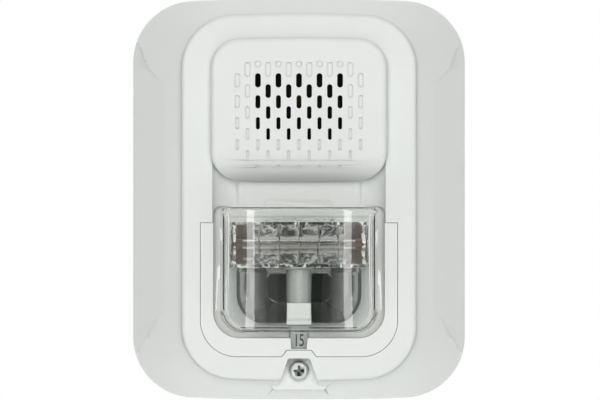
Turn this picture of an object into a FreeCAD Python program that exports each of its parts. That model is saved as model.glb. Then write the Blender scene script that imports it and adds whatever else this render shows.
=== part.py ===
"""A wall-mounted fire alarm horn strobe, built as its separate pieces.

Every solid is first drawn in the face frame: x to the right, u up the wall, d out of the wall
towards the room, all in millimetres from the wall plane at the centre of the electrical box.
save() then turns it into the part's own frame, where +Z is up and the front looks along -Y.
"""

import FreeCAD
import Part
import math
import os

# ---------------------------------------------------------------- driving dimensions
WIDTH, HEIGHT = 119.0, 142.0        # the head, seen from the room
DEPTH = 49.0                        # wall to the front of the lens
WALL = 2.2                          # moulded wall of the head
GAP = 0.2                           # clearance between pieces that drop into each other

# front housing, by how far each surface stands out from the wall
RIM_BACK = 0.5
RIM_RELIEF = 1.8                    # the top of the rim is cut back so the head can swing
SKIRT_TOP, SKIRT_ANGLE = 21.0, math.radians(38)
BODY_FRONT = 26.0
PLATEAU_FRONT = 32.0
SCOOP_FLOOR = 20.0
CORNER, CROWN = 21.5, 1.0
BODY_HALF, BODY_TOP, BODY_BOTTOM, BODY_CORNER, BODY_CROWN = 41.8, 65.8, -64.2, 18.5, 1.6
PLATEAU_HALF, PLATEAU_TOP, PLATEAU_BOTTOM, PLATEAU_CORNER = 30.8, 56.6, 6.2, 10.0
NOSE_RISE = 10.5                    # how far up the rolled lower end of the grille reaches
BODY_ROUND, PLATEAU_ROUND = 1.4, 1.6  # rounding of their front edges
SCOOP_FLAT = 19.5                   # half width of the flat floor above the lens
CREASE_HALF, GRIP_ANGLE = 47.8, math.radians(41.5)
GRIP_TOP, GRIP_BOTTOM = 39.5, -38.4  # straight part of the finger grips down each side

# lens, its opening and the snap-in bezel around it
LENS_BACK = 20.2
LENS_HALF, LENS_TOP, LENS_BOTTOM, LENS_CORNER = 28.0, -2.7, -47.2, 8.0
LENS_CROWN_R = 260.0               # the front bulges from side to side on this radius
LENS_TAPER = 1.8                    # how far the sides and bottom lean in; the top is square
LENS_WALL, FLANGE_THICK, FLANGE_WIDE = 2.0, 1.8, 3.3
OPENING_HALF, OPENING_TOP, OPENING_BOTTOM, OPENING_CORNER = 30.2, -2.3, -48.8, 9.4
LIGHT_HALF, LIGHT_TOP, LIGHT_BOTTOM = 26.6, -6.2, -45.8
BEZEL_HALF, BEZEL_TOP, BEZEL_BOTTOM, BEZEL_CORNER = 34.6, -8.3, -55.2, 12.7
STEP_LOW_HALF, STEP_HIGH_HALF = 6.9, 4.4
BEZEL_STEP = -52.9                  # the bezel steps up here to make room for the screw pocket
WINDOW_TOP_HALF, WINDOW_LOW_HALF, WINDOW_LOW = 3.3, 2.5, -52.4

# rear parts
COVER_BACK, COVER_FRONT = 9.0, 11.0
COVER_GAP = 0.5
BOARD_BACK, BOARD_FRONT = 14.0, 15.6
BOARD_HALF, BOARD_TOP, BOARD_BOTTOM = 39.0, 60.0, -44.5
PLATE_THICK, PLATE_LIP = 2.5, 6.5
PLATE_HALF, PLATE_TOP, PLATE_BOTTOM, PLATE_CORNER = 54.0, 60.5, -65.5, 17.0
OPENING_W, OPENING_LOW, OPENING_HIGH = 22.0, 3.0, 33.0

# hinge beads at the top, mounting screw at the bottom
HINGE_U, HINGE_D, BEAD_R = 67.0, 5.0, 1.2
HOOK_X, HOOK_HALF, HOOK_TOP = 24.0, 5.0, 66.9
SCREW_U, POCKET_FLOOR = -60.5, 19.6
POCKET_TOP, POCKET_LOW, TONGUE_LOW = -55.9, -64.6, -67.3
SCREW_R, SCREW_TIP, SCREW_HEAD_R, SCREW_HEAD_H = 1.75, 2.4, 3.5, 2.6
RETAINER_BACK, RETAINER_FRONT, RETAINER_R = 10.0, 10.8, 3.2
COVER_SCREW_X, COVER_SCREW_U, BOSS_TOP = 43.5, 50.0, 15.4

# electrical box screw centres
GANG_SPACING, DOUBLE_SPACING, OCTAGON_SPACING, BOX_HOLE_R = 83.3, 46.0, 88.9, 2.1

# candela selector: seven settings, the lowest one showing
SETTINGS, SETTING_PITCH = 7, 5.0
SCALE_U, SCALE_HALF_H, SCALE_BACK, SCALE_FRONT = -50.0, 3.0, 15.9, 17.1
THUMB_BACK = 7.0

# tone dial on the rear
DIAL_X, DIAL_U, DIAL_R = 31.0, 14.0, 4.0

# flash tube and reflector
TUBE_U, TUBE_D, TUBE_R, TUBE_HALF = -15.6, 34.8, 1.7, 19.6
TROUGH_HALF_X, TROUGH_HALF_U, TROUGH_BACK, TROUGH_FOCUS = 23.2, 6.8, 32.0, 2.4
MIRROR_BACK, MIRROR_WALL = 21.0, 1.2
LEAD_X = 21.4

# terminals on the wall plate and blades on the head
TERMINAL_X = (-21.0, -7.0, 7.0, 21.0)
TERMINAL_U, BLADE_U = -14.0, -26.0

# grille lattice and the sounder behind it
GRILLE_PITCH_X, GRILLE_PITCH_U, GRILLE_TOP_U = 3.59, 3.75, 45.4
OPEN_ROWS = 6
HORN_HALF, HORN_TOP, HORN_BOTTOM, HORN_FRONT = 26.0, 53.2, 19.2, 29.4
PIEZO_R = 13.5


# ---------------------------------------------------------------- drawing helpers
def at(x, u, d):
    return FreeCAD.Vector(x, u, d)


def box(x0, x1, u0, u1, d0, d1):
    return Part.makeBox(x1 - x0, u1 - u0, d1 - d0, at(x0, u0, d0))


def rod(x, u, d0, d1, r):
    return Part.makeCylinder(r, d1 - d0, at(x, u, d0))


def rod_x(x0, x1, u, d, r):
    return Part.makeCylinder(r, x1 - x0, at(x0, u, d), at(1, 0, 0))


def rod_u(x, u0, u1, d, r):
    return Part.makeCylinder(r, u1 - u0, at(x, u0, d), at(0, 1, 0))


def tube(x, u, d0, d1, r_out, r_in):
    return rod(x, u, d0, d1, r_out).cut(rod(x, u, d0 - 1, d1 + 1, r_in))


def prism(points, d0, d1):
    """Straight-sided outline of (x, u) points, extruded from d0 to d1."""
    loop = [at(x, u, d0) for x, u in points]
    return Part.Face(Part.makePolygon(loop + loop[:1])).extrude(at(0, 0, d1 - d0))


def side_prism(points, x0, x1):
    """Outline of (u, d) points, extruded across from x0 to x1."""
    loop = [at(x0, u, d) for u, d in points]
    return Part.Face(Part.makePolygon(loop + loop[:1])).extrude(at(x1 - x0, 0, 0))


def joined(*solids):
    return solids[0].multiFuse(list(solids[1:])).removeSplitter()


def standing_edges(solid, keep):
    """Straight edges that run along d and whose middle passes keep(middle)."""
    found = []
    for e in solid.Edges:
        ends = [v.Point for v in e.Vertexes]
        along = len(ends) == 2 and (ends[1] - ends[0]).normalize()
        if along and abs(abs(along.z) - 1) < 1e-6 and keep(e.CenterOfMass):
            found.append(e)
    return found


def slab(half, top, bottom, r_top, r_bottom, d0, d1, crown=0.0):
    """A plate with rounded corners. Its top and bottom edges bulge outwards by crown."""
    left, right = at(-half, bottom + crown, d0), at(half, bottom + crown, d0)
    up_left, up_right = at(-half, top - crown, d0), at(half, top - crown, d0)
    if crown:
        over = Part.Arc(up_left, at(0, top, d0), up_right).toShape()
        under = Part.Arc(right, at(0, bottom, d0), left).toShape()
    else:
        over = Part.makeLine(up_left, up_right)
        under = Part.makeLine(right, left)
    edges = [Part.makeLine(left, up_left), over, Part.makeLine(up_right, right), under]
    solid = Part.Face(Part.Wire(edges)).extrude(at(0, 0, d1 - d0))
    middle = (top + bottom) / 2
    if r_top:
        solid = solid.makeFillet(r_top, standing_edges(solid, lambda p: p.y > middle))
    if r_bottom:
        solid = solid.makeFillet(r_bottom, standing_edges(solid, lambda p: p.y < middle))
    return solid


def end_wire(solid, d):
    """The outline of the flat face of a solid that lies at depth d."""
    for face in solid.Faces:
        if abs(face.BoundBox.ZMin - d) < 1e-6 and abs(face.BoundBox.ZMax - d) < 1e-6:
            return face.OuterWire
    raise ValueError("no face at that depth")


def tapered(outline, back, front):
    """A solid between outline(0) at depth back and outline(1) at depth front, ruled straight."""
    wires = [end_wire(outline(0, back), back), end_wire(outline(1, front), front)]
    return Part.makeLoft(wires, True, True)


def slot(x, u, width, height, d0, d1):
    """An upright slot with round ends."""
    r = width / 2
    reach = height / 2 - r
    if reach < 0.01:
        return rod(x, u, d0, d1, r)
    middle = box(x - r, x + r, u - reach, u + reach, d0, d1)
    return joined(middle, rod(x, u - reach, d0, d1, r), rod(x, u + reach, d0, d1, r))


def save(name, *solids):
    shape = Part.makeCompound(list(solids)) if len(solids) > 1 else solids[0].copy()
    shape.rotate(at(0, 0, 0), at(1, 0, 0), 90)
    shape.exportStep("parts/" + name + ".step")
    bad = [s for s in shape.Solids if not s.isValid()]
    print(name, "solids", len(shape.Solids), "mm3", round(shape.Volume, 1), "BAD" if bad else "")


# ---------------------------------------------------------------- front housing
def skirt(t):
    """The sloping skirt between the body and the rim, t inside the outer surface."""
    def outline(end, d):
        grow = 0.0 if end else (top - back) / math.tan(SKIRT_ANGLE)
        return slab(BODY_HALF - t + grow, BODY_TOP - t + grow, BODY_BOTTOM + t - grow,
                    BODY_CORNER - t + grow, BODY_CORNER - t + grow, d, d + 1, BODY_CROWN)
    back = RIM_BACK - 4
    top = SKIRT_TOP - t * math.tan(math.pi / 4 - SKIRT_ANGLE / 2)
    roof = tapered(outline, back, top)
    rim = slab(WIDTH / 2 - t, HEIGHT / 2 - t, -HEIGHT / 2 + t, CORNER - t, CORNER - t,
               back, SKIRT_TOP + 1, CROWN)
    return rim.common(roof)


def rounded_front(solid, d, radius, keep=lambda edge: True):
    """Round the edges that lie in the front face of a solid."""
    edges = [e for e in solid.Edges if e.BoundBox.ZMin > d - 0.001 and keep(e)]
    return solid.makeFillet(radius, edges)


def body(t):
    """The raised middle of the housing."""
    def outline(end, d):
        lean = 0.5 * end
        return slab(BODY_HALF - t - lean, BODY_TOP - t - lean, BODY_BOTTOM + t + lean,
                    BODY_CORNER - t, BODY_CORNER - t, d, d + 1, BODY_CROWN)
    block = tapered(outline, SKIRT_TOP - 3, BODY_FRONT - t)
    return block if t else rounded_front(block, BODY_FRONT, BODY_ROUND)


def scoop(t):
    """What is hollowed out of the body above the lens: a flat floor with rounded sides."""
    side, floor, lip = PLATEAU_HALF + t, SCOOP_FLOOR - t, BODY_FRONT + 4
    sweep = side - SCOOP_FLAT
    rise = BODY_FRONT + 0.8 - floor
    low = BEZEL_TOP - t
    s = math.sqrt(0.5)

    def corner(sign):
        foot, head = at(sign * SCOOP_FLAT, low, floor), at(sign * side, low, floor + rise)
        bend = at(sign * (SCOOP_FLAT + sweep * s), low, floor + rise * (1 - s))
        return foot, bend, head
    lf, lb, lh = corner(-1)
    rf, rb, rh = corner(1)
    edges = [Part.Arc(lh, lb, lf).toShape(), Part.makeLine(lf, rf),
             Part.Arc(rf, rb, rh).toShape(), Part.makeLine(rh, at(side, low, lip)),
             Part.makeLine(at(side, low, lip), at(-side, low, lip)),
             Part.makeLine(at(-side, low, lip), lh)]
    return Part.Face(Part.Wire(edges)).extrude(at(0, 20.0 - low, 0))


def plateau(t):
    """The raised grille panel, with its lower end rolled down to the scoop."""
    panel = slab(PLATEAU_HALF - t, PLATEAU_TOP - t, PLATEAU_BOTTOM + t, PLATEAU_CORNER - t,
                 PLATEAU_CORNER - t, SCOOP_FLOOR - 5, PLATEAU_FRONT - t, 0.9)
    low, front = PLATEAU_BOTTOM + t, PLATEAU_FRONT - t
    turn_u, turn_d = NOSE_RISE, PLATEAU_FRONT - SCOOP_FLOOR
    top = PLATEAU_TOP + 5
    x = -PLATEAU_HALF - 5
    s = math.sqrt(0.5)
    nose = Part.Arc(at(x, low + turn_u, front),
                    at(x, low + turn_u * (1 - s), front - turn_d * (1 - s)),
                    at(x, low, front - turn_d)).toShape()
    floor = SCOOP_FLOOR - 8
    edges = [nose, Part.makeLine(at(x, low, front - turn_d), at(x, low, floor)),
             Part.makeLine(at(x, low, floor), at(x, top, floor)),
             Part.makeLine(at(x, top, floor), at(x, top, front)),
             Part.makeLine(at(x, top, front), at(x, low + turn_u, front))]
    profile = Part.Face(Part.Wire(edges)).extrude(at(-2 * x, 0, 0))
    panel = panel.common(profile)
    if t:
        return panel
    return rounded_front(panel, PLATEAU_FRONT, PLATEAU_ROUND, lambda edge: (
        edge.BoundBox.YMax > top - 5 - PLATEAU_TOP / 2 and edge.BoundBox.YLength > 0.01))


def grip(t):
    """Finger grips: the flank falls away more steeply outside a crease down each side."""
    rise = (CREASE_HALF - BODY_HALF) * math.tan(SKIRT_ANGLE)
    crease_d = SKIRT_TOP - rise - t / math.cos(GRIP_ANGLE)
    far = WIDTH
    fall = (far - CREASE_HALF) * math.tan(GRIP_ANGLE)
    sides = []
    for s in (-1, 1):
        path = [at(s * (CREASE_HALF - 1), GRIP_TOP + t, 0), at(s * 49.3, 42.4 + t, 0),
                at(s * 55.0, 49.0 + t, 0), at(s * 56.6, 53.5 + t, 0), at(s * 64, 60 + t, 0)]
        back = [at(s * 64, -62 - t, 0), at(s * 56.6, -52.5 - t, 0), at(s * 52.5, -46.0 - t, 0),
                at(s * (CREASE_HALF - 1), GRIP_BOTTOM - t, 0)]
        upper, lower = Part.BSplineCurve(), Part.BSplineCurve()
        upper.interpolate(path)
        lower.interpolate(back)
        edges = [upper.toShape(), Part.makeLine(path[-1], back[0]), lower.toShape(),
                 Part.makeLine(back[-1], path[0])]
        column = Part.Face(Part.Wire(edges)).extrude(at(0, 0, 40))
        loop = [at(s * CREASE_HALF, -90, crease_d), at(s * far, -90, crease_d - fall),
                at(s * far, -90, 60), at(s * CREASE_HALF, -90, 60)]
        above = Part.Face(Part.makePolygon(loop + loop[:1])).extrude(at(0, 180, 0))
        sides.append(column.common(above))
    return sides


def form(t):
    """The whole outer shape of the housing, t inside the surface."""
    sides = skirt(t).cut(grip(t))
    return sides.fuse(body(t)).cut(scoop(t)).fuse(plateau(t)).removeSplitter()


def grille_slots():
    """Rows of upright slots, narrower row by row. The outer ones are only blind dimples."""
    through, blind = [], []
    for row in range(OPEN_ROWS + 4):
        u = GRILLE_TOP_U - GRILLE_PITCH_U * row
        wide, tall = 2.15 - 0.145 * row, 5.2 - 0.18 * row
        odd = row % 2
        last = 5 - odd
        reach = 6 if odd and row <= OPEN_ROWS + 1 else last
        if row == OPEN_ROWS + 3:
            tall = wide = 1.1
            reach = 4
        if not odd:
            reach = 5
        bend = max(0.0, (PLATEAU_BOTTOM + NOSE_RISE - u) / NOSE_RISE)
        drop = (PLATEAU_FRONT - SCOOP_FLOOR) * (1 - math.sqrt(1 - bend * bend))
        for column in range(-reach, reach + 1, 2):
            x = column * GRILLE_PITCH_X
            opened = 1 <= row <= OPEN_ROWS and abs(column) <= (4 if odd else 3)
            if opened:
                through.append(slot(x, u, wide, tall, PLATEAU_FRONT - 8, PLATEAU_FRONT + 1))
            else:
                blind.append(slot(x, u, wide, tall, PLATEAU_FRONT - drop - 0.8,
                                  PLATEAU_FRONT + 1))
    for column in range(-4, 5, 2):
        blind.append(rod(column * GRILLE_PITCH_X, GRILLE_TOP_U + 1.9, PLATEAU_FRONT - 0.6,
                         PLATEAU_FRONT + 1, 1.2))
    return through + blind


def bezel_outline(grow, d0, d1):
    """The U of the bezel without its opening, grown by a clearance."""
    plate = slab(BEZEL_HALF + grow, 20, BEZEL_BOTTOM - grow, 1, BEZEL_CORNER + grow, d0, d1)
    above = box(-60, 60, BEZEL_TOP + grow, 40, d0 - 1, d1 + 1)
    low, high = STEP_LOW_HALF - grow, STEP_HIGH_HALF - grow
    step = prism([(-low, BEZEL_BOTTOM - 1), (-high, BEZEL_STEP - grow),
                  (high, BEZEL_STEP - grow), (low, BEZEL_BOTTOM - 1)], d0 - 1, d1 + 1)
    return plate.cut([above, step])


def lens_opening(d0, d1):
    return slab(OPENING_HALF, OPENING_TOP, OPENING_BOTTOM, 2.5, OPENING_CORNER, d0, d1)


def window_tab(grow, d0, d1):
    """The little number window that hangs from the lower edge of the lens."""
    return prism([(-WINDOW_TOP_HALF - grow, LENS_BOTTOM + 3), (-WINDOW_LOW_HALF - grow,
                  WINDOW_LOW - grow), (WINDOW_LOW_HALF + grow, WINDOW_LOW - grow),
                  (WINDOW_TOP_HALF + grow, LENS_BOTTOM + 3)], d0, d1)


def pocket(grow, low, d0, d1):
    """The flared pocket the mounting screw sits in, open at its lower end."""
    flare = 0.36
    high, half = POCKET_TOP + grow, 3.8 + grow
    wide = half + flare * (high - low)
    shape = prism([(-half, high), (half, high), (wide, low), (-wide, low)], d0, d1)
    return shape.makeFillet(0.9, standing_edges(shape, lambda p: p.y > high - 0.1))


def front_housing():
    shape = form(0).cut(form(WALL))
    tray = slab(BEZEL_HALF + 2.2, 2.0, BEZEL_BOTTOM - 2.2, 2, BEZEL_CORNER + 2.2,
                SCOOP_FLOOR - WALL, BODY_FRONT - 1)
    tray = tray.cut(box(-60, 60, BEZEL_TOP + 2.2, 10, SCOOP_FLOOR, BODY_FRONT))
    tray = tray.common(form(0))
    tongue = pocket(1.6, TONGUE_LOW, POCKET_FLOOR - 1.8, POCKET_FLOOR)
    tongue = tongue.makeFillet(1.2, standing_edges(tongue, lambda p: p.y < TONGUE_LOW + 0.1))
    cup = pocket(1.6, POCKET_LOW, POCKET_FLOOR - 1.8, BODY_FRONT - 1).common(form(0))
    bosses = []
    for x in (-COVER_SCREW_X, COVER_SCREW_X):
        for u in (-COVER_SCREW_U, COVER_SCREW_U):
            bosses.append(rod(x, u, COVER_FRONT, BOSS_TOP, 3.0))
    beads = []
    for x in (-HOOK_X, HOOK_X):
        beads.append(rod_x(x - HOOK_HALF + 0.6, x + HOOK_HALF - 0.6, HINGE_U, HINGE_D, BEAD_R))
        beads.append(box(x - HOOK_HALF + 0.6, x + HOOK_HALF - 0.6, HINGE_U, HEIGHT / 2 - 1.5,
                         HINGE_D - 0.6, HINGE_D + 0.6))
    shape = shape.fuse([tray, cup, tongue] + bosses + beads)
    cuts = [bezel_outline(GAP, SCOOP_FLOOR, 40), lens_opening(SCOOP_FLOOR, 40),
            slab(LIGHT_HALF, LIGHT_TOP, LIGHT_BOTTOM, 2, 8, 10, 30),
            window_tab(0.4, 10, 40), pocket(0, -80, POCKET_FLOOR, 40),
            rod(0, SCREW_U, 10, 30, SCREW_R + 0.45),
            box(-80, 80, -80, 80, -10, RIM_BACK),
            box(-80, 80, PLATE_TOP, 80, -10, RIM_RELIEF)]
    for x in (-COVER_SCREW_X, COVER_SCREW_X):
        for u in (-COVER_SCREW_U, COVER_SCREW_U):
            cuts.append(rod(x, u, 10, BOSS_TOP - 1.2, 1.3))
    return shape.cut(cuts + grille_slots()).removeSplitter()


def lens_bezel():
    shape = bezel_outline(0, LENS_BACK, BODY_FRONT)
    rebate = slab(LENS_HALF + FLANGE_WIDE + GAP, 30, LENS_BOTTOM - FLANGE_WIDE - GAP, 1,
                  LENS_CORNER + FLANGE_WIDE, 15, LENS_BACK + FLANGE_THICK + GAP)
    return shape.cut([rebate, lens_opening(10, 40), window_tab(GAP, 10, 40)]).removeSplitter()


# ---------------------------------------------------------------- lens and light engine
def lens_body(t, back, r_top, r_bottom):
    """The drafted block of the lens from a depth to its bulged front, t inside its surface."""
    front = DEPTH - t
    draft = LENS_TAPER / (DEPTH - LENS_BACK)
    lean = t + draft * (back - LENS_BACK)
    sag = LENS_HALF ** 2 / (2 * LENS_CROWN_R)
    wide, narrow = LENS_HALF - lean, LENS_HALF - t - draft * (front - LENS_BACK)
    corners = [at(-narrow, 10, front - sag), at(-wide, 10, back), at(wide, 10, back),
               at(narrow, 10, front - sag)]
    edges = [Part.makeLine(corners[0], corners[1]), Part.makeLine(corners[1], corners[2]),
             Part.makeLine(corners[2], corners[3]),
             Part.Arc(corners[3], at(0, 10, front), corners[0]).toShape()]
    across = Part.Face(Part.Wire(edges)).extrude(at(0, -80, 0))
    reach = draft * (front - back)
    upright = side_prism([(LENS_TOP - t, back), (LENS_TOP - t, front + 1),
                          (LENS_BOTTOM + lean + reach, front + 1),
                          (LENS_BOTTOM + lean + reach, front), (LENS_BOTTOM + lean, back)],
                         -60, 60)
    block = across.common(upright)
    middle = (LENS_TOP + LENS_BOTTOM) / 2
    for radius, low in ((r_bottom, True), (r_top, False)):
        legs = [e for e in block.Edges if e.BoundBox.ZLength > (front - back) / 2
                and (e.CenterOfMass.y < middle) == low]
        block = block.makeFillet(radius, legs)
    return block


def lens():
    low, high = LENS_BACK, LENS_BACK + FLANGE_THICK
    outer = lens_body(0, low, 1.6, LENS_CORNER)
    edge_back = DEPTH - LENS_HALF ** 2 / (2 * LENS_CROWN_R) - 0.5
    outer = outer.makeFillet(1.2, [e for e in outer.Edges if e.BoundBox.ZMin > edge_back])
    flange = slab(LENS_HALF + FLANGE_WIDE, 20, LENS_BOTTOM - FLANGE_WIDE, 1,
                  LENS_CORNER + FLANGE_WIDE, low, high)
    flange = flange.cut(box(-60, 60, BEZEL_TOP - GAP, 40, low - 1, high + 1))
    shoulder = slab(OPENING_HALF - 0.3, OPENING_TOP - 0.3, LENS_BOTTOM + 9, 2, 1, low, high)
    tab = prism([(-12.3, LENS_TOP - 3), (-12.3, -1.0), (-11.0, 0), (11.0, 0), (12.3, -1.0),
                 (12.3, LENS_TOP - 3)], low, low + 1.4)
    window = window_tab(0, SCALE_FRONT + 0.5, BODY_FRONT - 0.3)
    hollow = lens_body(LENS_WALL, low - 3, 1.0, LENS_CORNER - LENS_WALL)
    return joined(outer, flange, shoulder, tab, window).cut(hollow).removeSplitter()


def trough():
    """Parabolic trough whose focus is the axis of the flash tube."""
    points = []
    for i in range(-8, 9):
        v = TROUGH_HALF_U * i / 8 * 1.03
        points.append(at(-TROUGH_HALF_X, TUBE_U + v, TROUGH_BACK + v * v / (4 * TROUGH_FOCUS)))
    curve = Part.BSplineCurve()
    curve.interpolate(points)
    closing = Part.makeLine(points[-1], points[0])
    face = Part.Face(Part.Wire([curve.toShape(), closing]))
    return face.extrude(at(2 * TROUGH_HALF_X, 0, 0))


def bowl(t):
    """The lower bowl, throwing light down the wall, t outside its mirror surface."""
    def outline(end, d):
        half, top, bottom = (11.5, -26.0, -36.2) if end == 0 else (20.6, -24.0, -42.4)
        corner = 4.0 if end == 0 else 9.5
        return slab(half + t, top + t, bottom - t, 1.5 + t, corner + t, d, d + 1)
    return tapered(outline, 25.0 - t, 34.0)


def reflector():
    front = TROUGH_BACK + TROUGH_HALF_U ** 2 / (4 * TROUGH_FOCUS)
    half = TROUGH_HALF_X + MIRROR_WALL
    top, low = TUBE_U + TROUGH_HALF_U + 1.0, TUBE_U - TROUGH_HALF_U - 1.2
    head = side_prism([(top + 1.8, MIRROR_BACK), (top, front), (low, front),
                       (low, MIRROR_BACK)], -half, half)
    flange = slab(25.6, -5.8, -44.8, 1.5, 6.5, MIRROR_BACK, MIRROR_BACK + 1.6)
    shape = joined(head, flange, bowl(1.2))
    feet = [rod(x, u, BOARD_FRONT, MIRROR_BACK + 1, 2.0)
            for x in (-22.0, 22.0) for u in (-9.0, -38.0)]
    shape = shape.fuse(feet)
    back = box(-half + 1.6, half - 1.6, low + 1.4, top - 1.2, 10, TROUGH_BACK - 1.4)
    cuts = [trough(), bowl(0), back]
    for x in (-LEAD_X, LEAD_X):
        cuts.append(rod(x, TUBE_U, 10, 40, 0.9))
    shape = shape.cut(cuts)
    column = rod_u(0, -36.2, -23.6, 27.0, 4.3).common(box(-6, 6, -40, -20, 24, 40))
    base_block = box(-4.1, 4.1, -42.6, -36.2, 24.2, 32.6)
    return shape.fuse([column, base_block]).removeSplitter()


def flash_tube():
    glass = rod_x(-TUBE_HALF, TUBE_HALF, TUBE_U, TUBE_D, TUBE_R)
    return glass.cut(rod_x(-TUBE_HALF - 1, TUBE_HALF + 1, TUBE_U, TUBE_D, TUBE_R - 0.5))


def tube_electrodes():
    ends = []
    for s in (-1, 1):
        inner, outer = sorted((s * TUBE_HALF, s * (TUBE_HALF + 2.4)))
        cap = rod_x(inner, outer, TUBE_U, TUBE_D, TUBE_R + 0.2)
        nub = sorted((s * (TUBE_HALF - 3.5), s * TUBE_HALF))
        stem = rod_x(nub[0], nub[1], TUBE_U, TUBE_D, TUBE_R - 0.8)
        lead = rod(s * LEAD_X, TUBE_U, BOARD_BACK - 1, TUBE_D, 0.5)
        ends.append(joined(cap, stem, lead))
    return ends


def trigger_wire():
    """Fine trigger wire: a few turns round the glass joined by a straight run behind it."""
    turns = []
    for x in (-14.0, -7.0, 0.0, 7.0, 14.0):
        ring = rod_x(x - 0.2, x + 0.2, TUBE_U, TUBE_D, TUBE_R + 0.45)
        turns.append(ring.cut(rod_x(x - 1, x + 1, TUBE_U, TUBE_D, TUBE_R + 0.05)))
    run = rod_x(-16.0, 16.0, TUBE_U, TUBE_D - TUBE_R - 0.25, 0.18)
    return joined(run, *turns)


# ---------------------------------------------------------------- sounder
def horn_resonator():
    middle = (HORN_TOP + HORN_BOTTOM) / 2
    shape = slab(HORN_HALF, HORN_TOP, HORN_BOTTOM, 8, 4, BOARD_FRONT, HORN_FRONT)
    chamber = slab(HORN_HALF - 1.8, HORN_TOP - 1.8, HORN_BOTTOM + 1.8, 6.2, 2.2, 22.3, 40)
    return shape.cut([chamber, rod(0, middle, 10, 18.3, PIEZO_R + 0.9),
                      rod(0, middle, 18, 20.3, PIEZO_R - 1.2), rod(0, middle, 20, 24, 3.0)])


def piezo_disc():
    middle = (HORN_TOP + HORN_BOTTOM) / 2
    return joined(rod(0, middle, 18.0, 18.3, PIEZO_R), rod(0, middle, 17.75, 18.05, 9.5))


def piezo_ring():
    return tube(0, (HORN_TOP + HORN_BOTTOM) / 2, BOARD_FRONT, 18.0, PIEZO_R + 0.8, PIEZO_R - 1)


def piezo_leads():
    middle = (HORN_TOP + HORN_BOTTOM) / 2
    return [rod(4.0, middle, BOARD_BACK - 0.6, 17.75, 0.35),
            rod(-10.8, middle, BOARD_BACK - 0.6, 18.0, 0.35)]


# ---------------------------------------------------------------- circuit board and its parts
def post_places():
    return [(x, u) for x in (-34.5, 34.5) for u in (-38.5, 54.0)]


def circuit_board():
    board = slab(BOARD_HALF, BOARD_TOP, BOARD_BOTTOM, 9, 9, BOARD_BACK, BOARD_FRONT)
    middle = (HORN_TOP + HORN_BOTTOM) / 2
    cuts = [rod(x, u, 10, 20, 1.6) for x, u in post_places()]
    cuts += [box(x - 0.5, x + 0.5, BLADE_U - 1.3, BLADE_U + 1.3, 10, 20) for x in TERMINAL_X]
    cuts += [rod(x, TUBE_U, 10, 20, 0.7) for x in (-LEAD_X, LEAD_X)]
    cuts += [rod(4.0, middle, 10, 20, 0.5), rod(-10.8, middle, 10, 20, 0.5)]
    cuts += [rod(x, u, 10, 20, 0.5) for x, u in capacitor_leads()]
    return board.cut(cuts)


def capacitor_leads():
    return [(-19.6, TUBE_U + 2.5), (-19.6, TUBE_U - 2.5)]


def storage_capacitor():
    can = rod_x(-17.0, 17.0, TUBE_U, 22.2, 6.2)
    groove = rod_x(-14.6, -13.8, TUBE_U, 22.2, 7).cut(rod_x(-15, -13, TUBE_U, 22.2, 5.8))
    leads = []
    for x, u in capacitor_leads():
        leads.append(rod_x(x, -17.0, u, 22.2, 0.35))
        leads.append(rod(x, u, BOARD_BACK - 0.8, 22.2 + 0.35, 0.35))
    return joined(can.cut(groove), *leads)


def trigger_transformer():
    block = box(-6.0, 6.0, -39.5, -31.5, BOARD_FRONT, BOARD_FRONT + 1.2)
    coil = rod_x(-5.0, 5.0, -35.5, BOARD_FRONT + 2.6, 1.9)
    flanges = [rod_x(x, x + 1, -35.5, BOARD_FRONT + 2.6, 2.5) for x in (-6.0, -0.5, 5.0)]
    return joined(block, coil, *flanges)


def power_inductor():
    x, u = -33.6, 33.0
    core = [rod(x, u, BOARD_FRONT, BOARD_FRONT + 1.2, 4.6),
            rod(x, u, BOARD_FRONT + 5.4, BOARD_FRONT + 6.6, 4.6)]
    return joined(rod(x, u, BOARD_FRONT, BOARD_FRONT + 6.0, 3.9), *core)


def power_transistor():
    package = box(29.4, 37.4, 28.0, 37.0, BOARD_FRONT, BOARD_FRONT + 4.4)
    tab = box(29.4, 37.4, 37.0, 43.0, BOARD_FRONT, BOARD_FRONT + 1.3)
    legs = [box(x - 0.4, x + 0.4, 23.5, 28.0, BOARD_FRONT, BOARD_FRONT + 0.6)
            for x in (30.9, 33.4, 35.9)]
    return joined(package, tab.cut(rod(33.4, 40.4, 10, 30, 1.6)), *legs)


def control_chip():
    body_block = box(-37.4, -31.4, 8.0, 17.0, BOARD_FRONT + 0.2, BOARD_FRONT + 1.7)
    legs = [box(-38.6, -30.2, 8.8 + 1.27 * i, 9.2 + 1.27 * i, BOARD_FRONT, BOARD_FRONT + 0.6)
            for i in range(7)]
    return joined(body_block, *legs)


def surface_mount_parts():
    places = [(-36, 0, 3), (-31, 0, 2), (-36, -5, 2), (-31, -6, 3), (32, 4, 3), (36, 4, 2),
              (32, -2, 2), (36, -3, 3), (34, -9, 2), (-34, -12, 3), (-8, 8, 2), (0, 8, 3),
              (8, 8, 2), (14, 5, 3)]
    return [box(x - length / 2, x + length / 2, u - 0.8, u + 0.8, BOARD_FRONT,
                BOARD_FRONT + 0.9) for x, u, length in places]


def pin_block():
    block = box(-27, 27, BLADE_U - 3.4, BLADE_U + 3.4, 8.4, BOARD_BACK)
    ribs = [box(x - 0.7, x + 0.7, BLADE_U - 4, BLADE_U + 4, 7, 11.2) for x in (-14, 0, 14)]
    cuts = [box(x - 0.45, x + 0.45, BLADE_U - 1.25, BLADE_U + 1.25, 0, 20) for x in TERMINAL_X]
    return block.cut(ribs + cuts)


def contact_blades():
    blades = []
    for x in TERMINAL_X:
        nose = prism([(x - 0.4, BLADE_U - 1.2), (x + 0.4, BLADE_U - 1.2),
                      (x + 0.4, BLADE_U + 1.2), (x - 0.4, BLADE_U + 1.2)], 3.6, 17.0)
        blades.append(nose)
    return blades


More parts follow.
